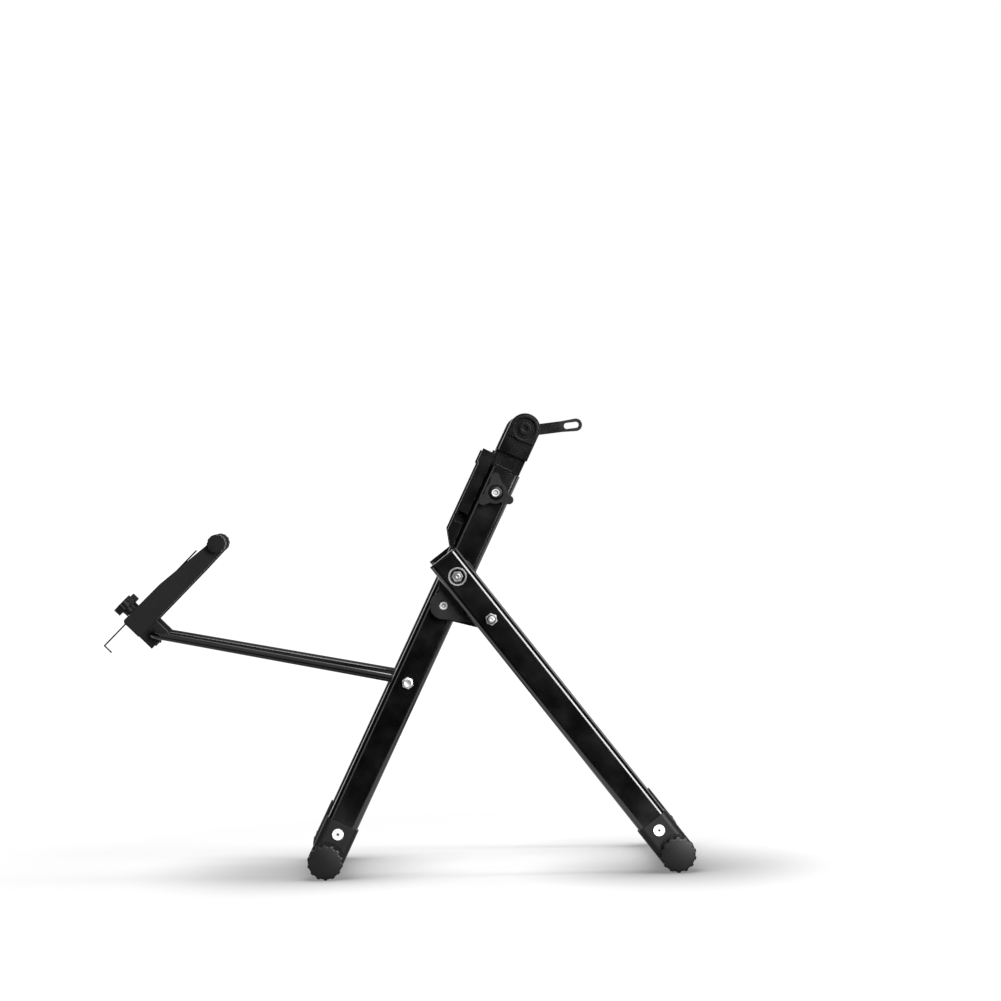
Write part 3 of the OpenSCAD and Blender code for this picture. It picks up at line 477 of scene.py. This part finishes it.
def foot_shadow(nodes, links, pair, shift_x, shift_y):
    """Painted shadow: 1 on open ground, falling in a soft oval under one pair of feet, which it follows as
    they move.
    """
    low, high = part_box(pair)
    place = nodes.new("ShaderNodeTexCoord")
    place.object = frame["nodes"][pair]
    offset = nodes.new("ShaderNodeVectorMath")
    offset.operation = "SUBTRACT"
    offset.inputs[1].default_value = ((low[0] + high[0]) / 2 + shift_x, shift_y, FLOOR_Z)
    links.new(place.outputs["Object"], offset.inputs[0])
    shape = nodes.new("ShaderNodeVectorMath")
    shape.operation = "MULTIPLY"
    shape.inputs[1].default_value = (1 / SHADOW_HALF[0], 1 / SHADOW_HALF[1], 1 / SHADOW_HALF[0])
    links.new(offset.outputs["Vector"], shape.inputs[0])
    reach = nodes.new("ShaderNodeVectorMath")
    reach.operation = "LENGTH"
    links.new(shape.outputs["Vector"], reach.inputs[0])
    ramp = nodes.new("ShaderNodeMapRange")
    ramp.interpolation_type = "SMOOTHSTEP"
    ramp.inputs["To Min"].default_value = SHADOW_LOW
    ramp.inputs["To Max"].default_value = 1.0
    links.new(reach.outputs["Value"], ramp.inputs["Value"])
    return ramp.outputs["Result"]


def floor_material():
    """White ground that fades into the backdrop; its matte part takes the object's real shadow, and its
    colour and glow take painted shade and painted shadows under the feet.
    """
    material = bpy.data.materials.new("studio_floor")
    material.use_nodes = True
    nodes, links = material.node_tree.nodes, material.node_tree.links
    nodes.clear()
    out = nodes.new("ShaderNodeOutputMaterial")
    matte = nodes.new("ShaderNodeBsdfDiffuse")
    tone = nodes.new("ShaderNodeVectorMath")
    tone.operation = "SCALE"
    tone.inputs["Vector"].default_value = (FLOOR_ALBEDO, FLOOR_ALBEDO, FLOOR_ALBEDO)
    place = nodes.new("ShaderNodeTexCoord")
    # Painted shade near the stand and painted shadows under the feet darken the floor's colour and glow.
    shade = contact_shade(nodes, links)
    for pair, shift_x, shift_y in FOOT_SHADOWS:
        shade = product(nodes, links, shade, foot_shadow(nodes, links, pair, shift_x, shift_y))
    links.new(shade, tone.inputs["Scale"])
    links.new(tone.outputs["Vector"], matte.inputs["Color"])
    reach = nodes.new("ShaderNodeVectorMath")
    reach.operation = "LENGTH"
    links.new(place.outputs["Object"], reach.inputs[0])
    fade = nodes.new("ShaderNodeMapRange")
    fade.inputs["From Min"].default_value = 0.5
    fade.inputs["From Max"].default_value = 1.6
    fade.inputs["To Min"].default_value = FLOOR_GLOW
    fade.inputs["To Max"].default_value = 1.0
    links.new(reach.outputs["Value"], fade.inputs["Value"])
    glow = nodes.new("ShaderNodeEmission")
    glow.inputs["Color"].default_value = (*WHITE, 1.0)
    shaded = product(nodes, links, fade.outputs["Result"], shade)
    links.new(product(nodes, links, shaded, looked_at(nodes, links)), glow.inputs["Strength"])
    both = nodes.new("ShaderNodeAddShader")
    links.new(matte.outputs["BSDF"], both.inputs[0])
    links.new(glow.outputs["Emission"], both.inputs[1])
    links.new(both.outputs["Shader"], out.inputs["Surface"])
    return material


def build_floor():
    bpy.ops.mesh.primitive_plane_add(size=FLOOR_SIZE, location=(0.0, 0.0, FLOOR_Z))
    floor = bpy.context.object
    floor.name = "studio_floor"
    floor.data.materials.append(floor_material())


def build_flag():
    """Black cards before and beside the stand, seen only in mirror-like faces, which keep them dark."""
    near, far, back, low, high, half = -0.45, -4.2, 1.0, FLOOR_Z + 0.004, 2.4, 1.9
    corners = [(-half, near, low), (half, near, low), (half, far, low), (-half, far, low),
               (-half, far, high), (half, far, high), (-half, back, low), (-half, back, high),
               (half, back, low), (half, back, high)]
    mesh = bpy.data.meshes.new("black_flag")
    mesh.from_pydata(corners, [], [(0, 1, 2, 3), (3, 2, 5, 4), (6, 3, 4, 7), (2, 8, 9, 5)])
    material = bpy.data.materials.new("black_flag")
    material.use_nodes = True
    shader = material.node_tree.nodes["Principled BSDF"]
    shader.inputs["Base Color"].default_value = (0.004, 0.004, 0.004, 1.0)
    shader.inputs["Specular IOR Level"].default_value = 0.0
    shader.inputs["Roughness"].default_value = 1.0
    mesh.materials.append(material)
    flag = bpy.data.objects.new("black_flag", mesh)
    bpy.context.scene.collection.objects.link(flag)
    flag.visible_camera = False
    flag.visible_diffuse = False
    flag.visible_shadow = False


def build_world():
    """A white backdrop wherever it is seen or mirrored, and a soft sky that lights matte surfaces."""
    world = bpy.data.worlds.new("studio")
    bpy.context.scene.world = world
    world.use_nodes = True
    nodes, links = world.node_tree.nodes, world.node_tree.links
    nodes.clear()
    out = nodes.new("ShaderNodeOutputWorld")
    sky = nodes.new("ShaderNodeBackground")
    sky.inputs["Color"].default_value = (*WHITE, 1.0)
    sky.inputs["Strength"].default_value = SKY_STRENGTH
    backdrop = nodes.new("ShaderNodeBackground")
    backdrop.inputs["Color"].default_value = (*WHITE, 1.0)
    pick = nodes.new("ShaderNodeMixShader")
    links.new(looked_at(nodes, links), pick.inputs["Fac"])
    links.new(sky.outputs["Background"], pick.inputs[1])
    links.new(backdrop.outputs["Background"], pick.inputs[2])
    links.new(pick.outputs["Shader"], out.inputs["Surface"])


def area_light(name, toward, distance, across, size, power, mirrored):
    """A panel that faces the stand from one direction, its width along another.

    A mirrored panel shows only as a gleam in glossy faces, and any other one lights only matte ones.
    """
    outward = Vector(toward).normalized()
    upward = outward.cross(Vector(across)).normalized()
    light = bpy.data.lights.new(name, "AREA")
    light.shape = "RECTANGLE"
    light.size, light.size_y = size
    light.energy = power
    lamp = bpy.data.objects.new(name, light)
    bpy.context.scene.collection.objects.link(lamp)
    turn = Matrix((upward.cross(outward), upward, outward)).transposed().to_4x4()
    lamp.matrix_world = Matrix.Translation(LIT_POINT + distance * outward) @ turn
    lamp.visible_camera = False
    lamp.visible_diffuse = not mirrored
    lamp.visible_glossy = mirrored


def gleam(name, lean, angle, spread, power):
    """A mirrored panel that draws a line down the rounded edge of a leg that leans so far.

    Angle is how far the panel's middle lies round that edge from the camera, and spread its width.
    """
    edge = Vector((math.cos(lean), 0.0, abs(math.sin(lean))))
    edge.x = math.copysign(edge.x, lean)
    toward = math.sin(angle) * edge - math.cos(angle) * AWAY
    across = math.cos(angle) * edge + math.sin(angle) * AWAY
    width = 2 * GLEAM_DISTANCE * math.tan(spread / 2)
    area_light(name, toward, GLEAM_DISTANCE, across, (width, GLEAM_LENGTH), power, True)


def build_lights():
    """Two strips and a soft box for the matte surfaces, and one gleam for each pair of legs."""
    area_light("strip_left", (-1.5, -0.5, 1.1), 1.9, (0.5, -1.5, 0.0), (0.5, 0.9), 8.0, False)
    area_light("strip_right", (1.25, -0.35, 1.2), 1.8, (0.35, 1.25, 0.0), (0.35, 1.1), 24.0, False)
    area_light("softbox_top", (0.0, 0.2, 2.1), 2.1, (1.0, 0.0, 0.0), (1.0, 0.8), 20.0, False)
    gleam("gleam_right", FRONT_LEAN, math.radians(28), math.radians(26), 66.0)
    gleam("gleam_left", REAR_LEAN, math.radians(30), math.radians(22), 3.5)


def build_camera():
    """A camera at the picture's place and angle, with its field of view."""
    cos_yaw, sin_yaw = math.cos(CAMERA_YAW), math.sin(CAMERA_YAW)
    cos_pitch, sin_pitch = math.cos(CAMERA_PITCH), math.sin(CAMERA_PITCH)
    ahead = Vector((sin_yaw * cos_pitch, cos_yaw * cos_pitch, sin_pitch))
    level = Vector((cos_yaw, -sin_yaw, 0.0))
    upright = level.cross(ahead)
    cos_roll, sin_roll = math.cos(CAMERA_ROLL), math.sin(CAMERA_ROLL)
    right = cos_roll * level - sin_roll * upright
    up = sin_roll * level + cos_roll * upright
    turn = Matrix((right, up, -ahead)).transposed().to_4x4()
    data = bpy.data.cameras.new("photo_camera")
    data.sensor_width = SENSOR_MM
    data.lens = FOCAL_PX / IMAGE_PX * SENSOR_MM
    camera = bpy.data.objects.new("photo_camera", data)
    bpy.context.scene.collection.objects.link(camera)
    camera.matrix_world = Matrix.Translation(CAMERA_AT) @ turn
    bpy.context.scene.camera = camera


build_camera()
materials = object_materials()
dress(materials)
build_fasteners(materials)
for end in ("rear", "front"):
    build_dial(end + "_dial_near", -1, materials)
    build_dial(end + "_dial_far", 1, materials)
build_floor()
build_flag()
build_world()
build_lights()
bpy.context.scene.view_settings.view_transform = "Standard"
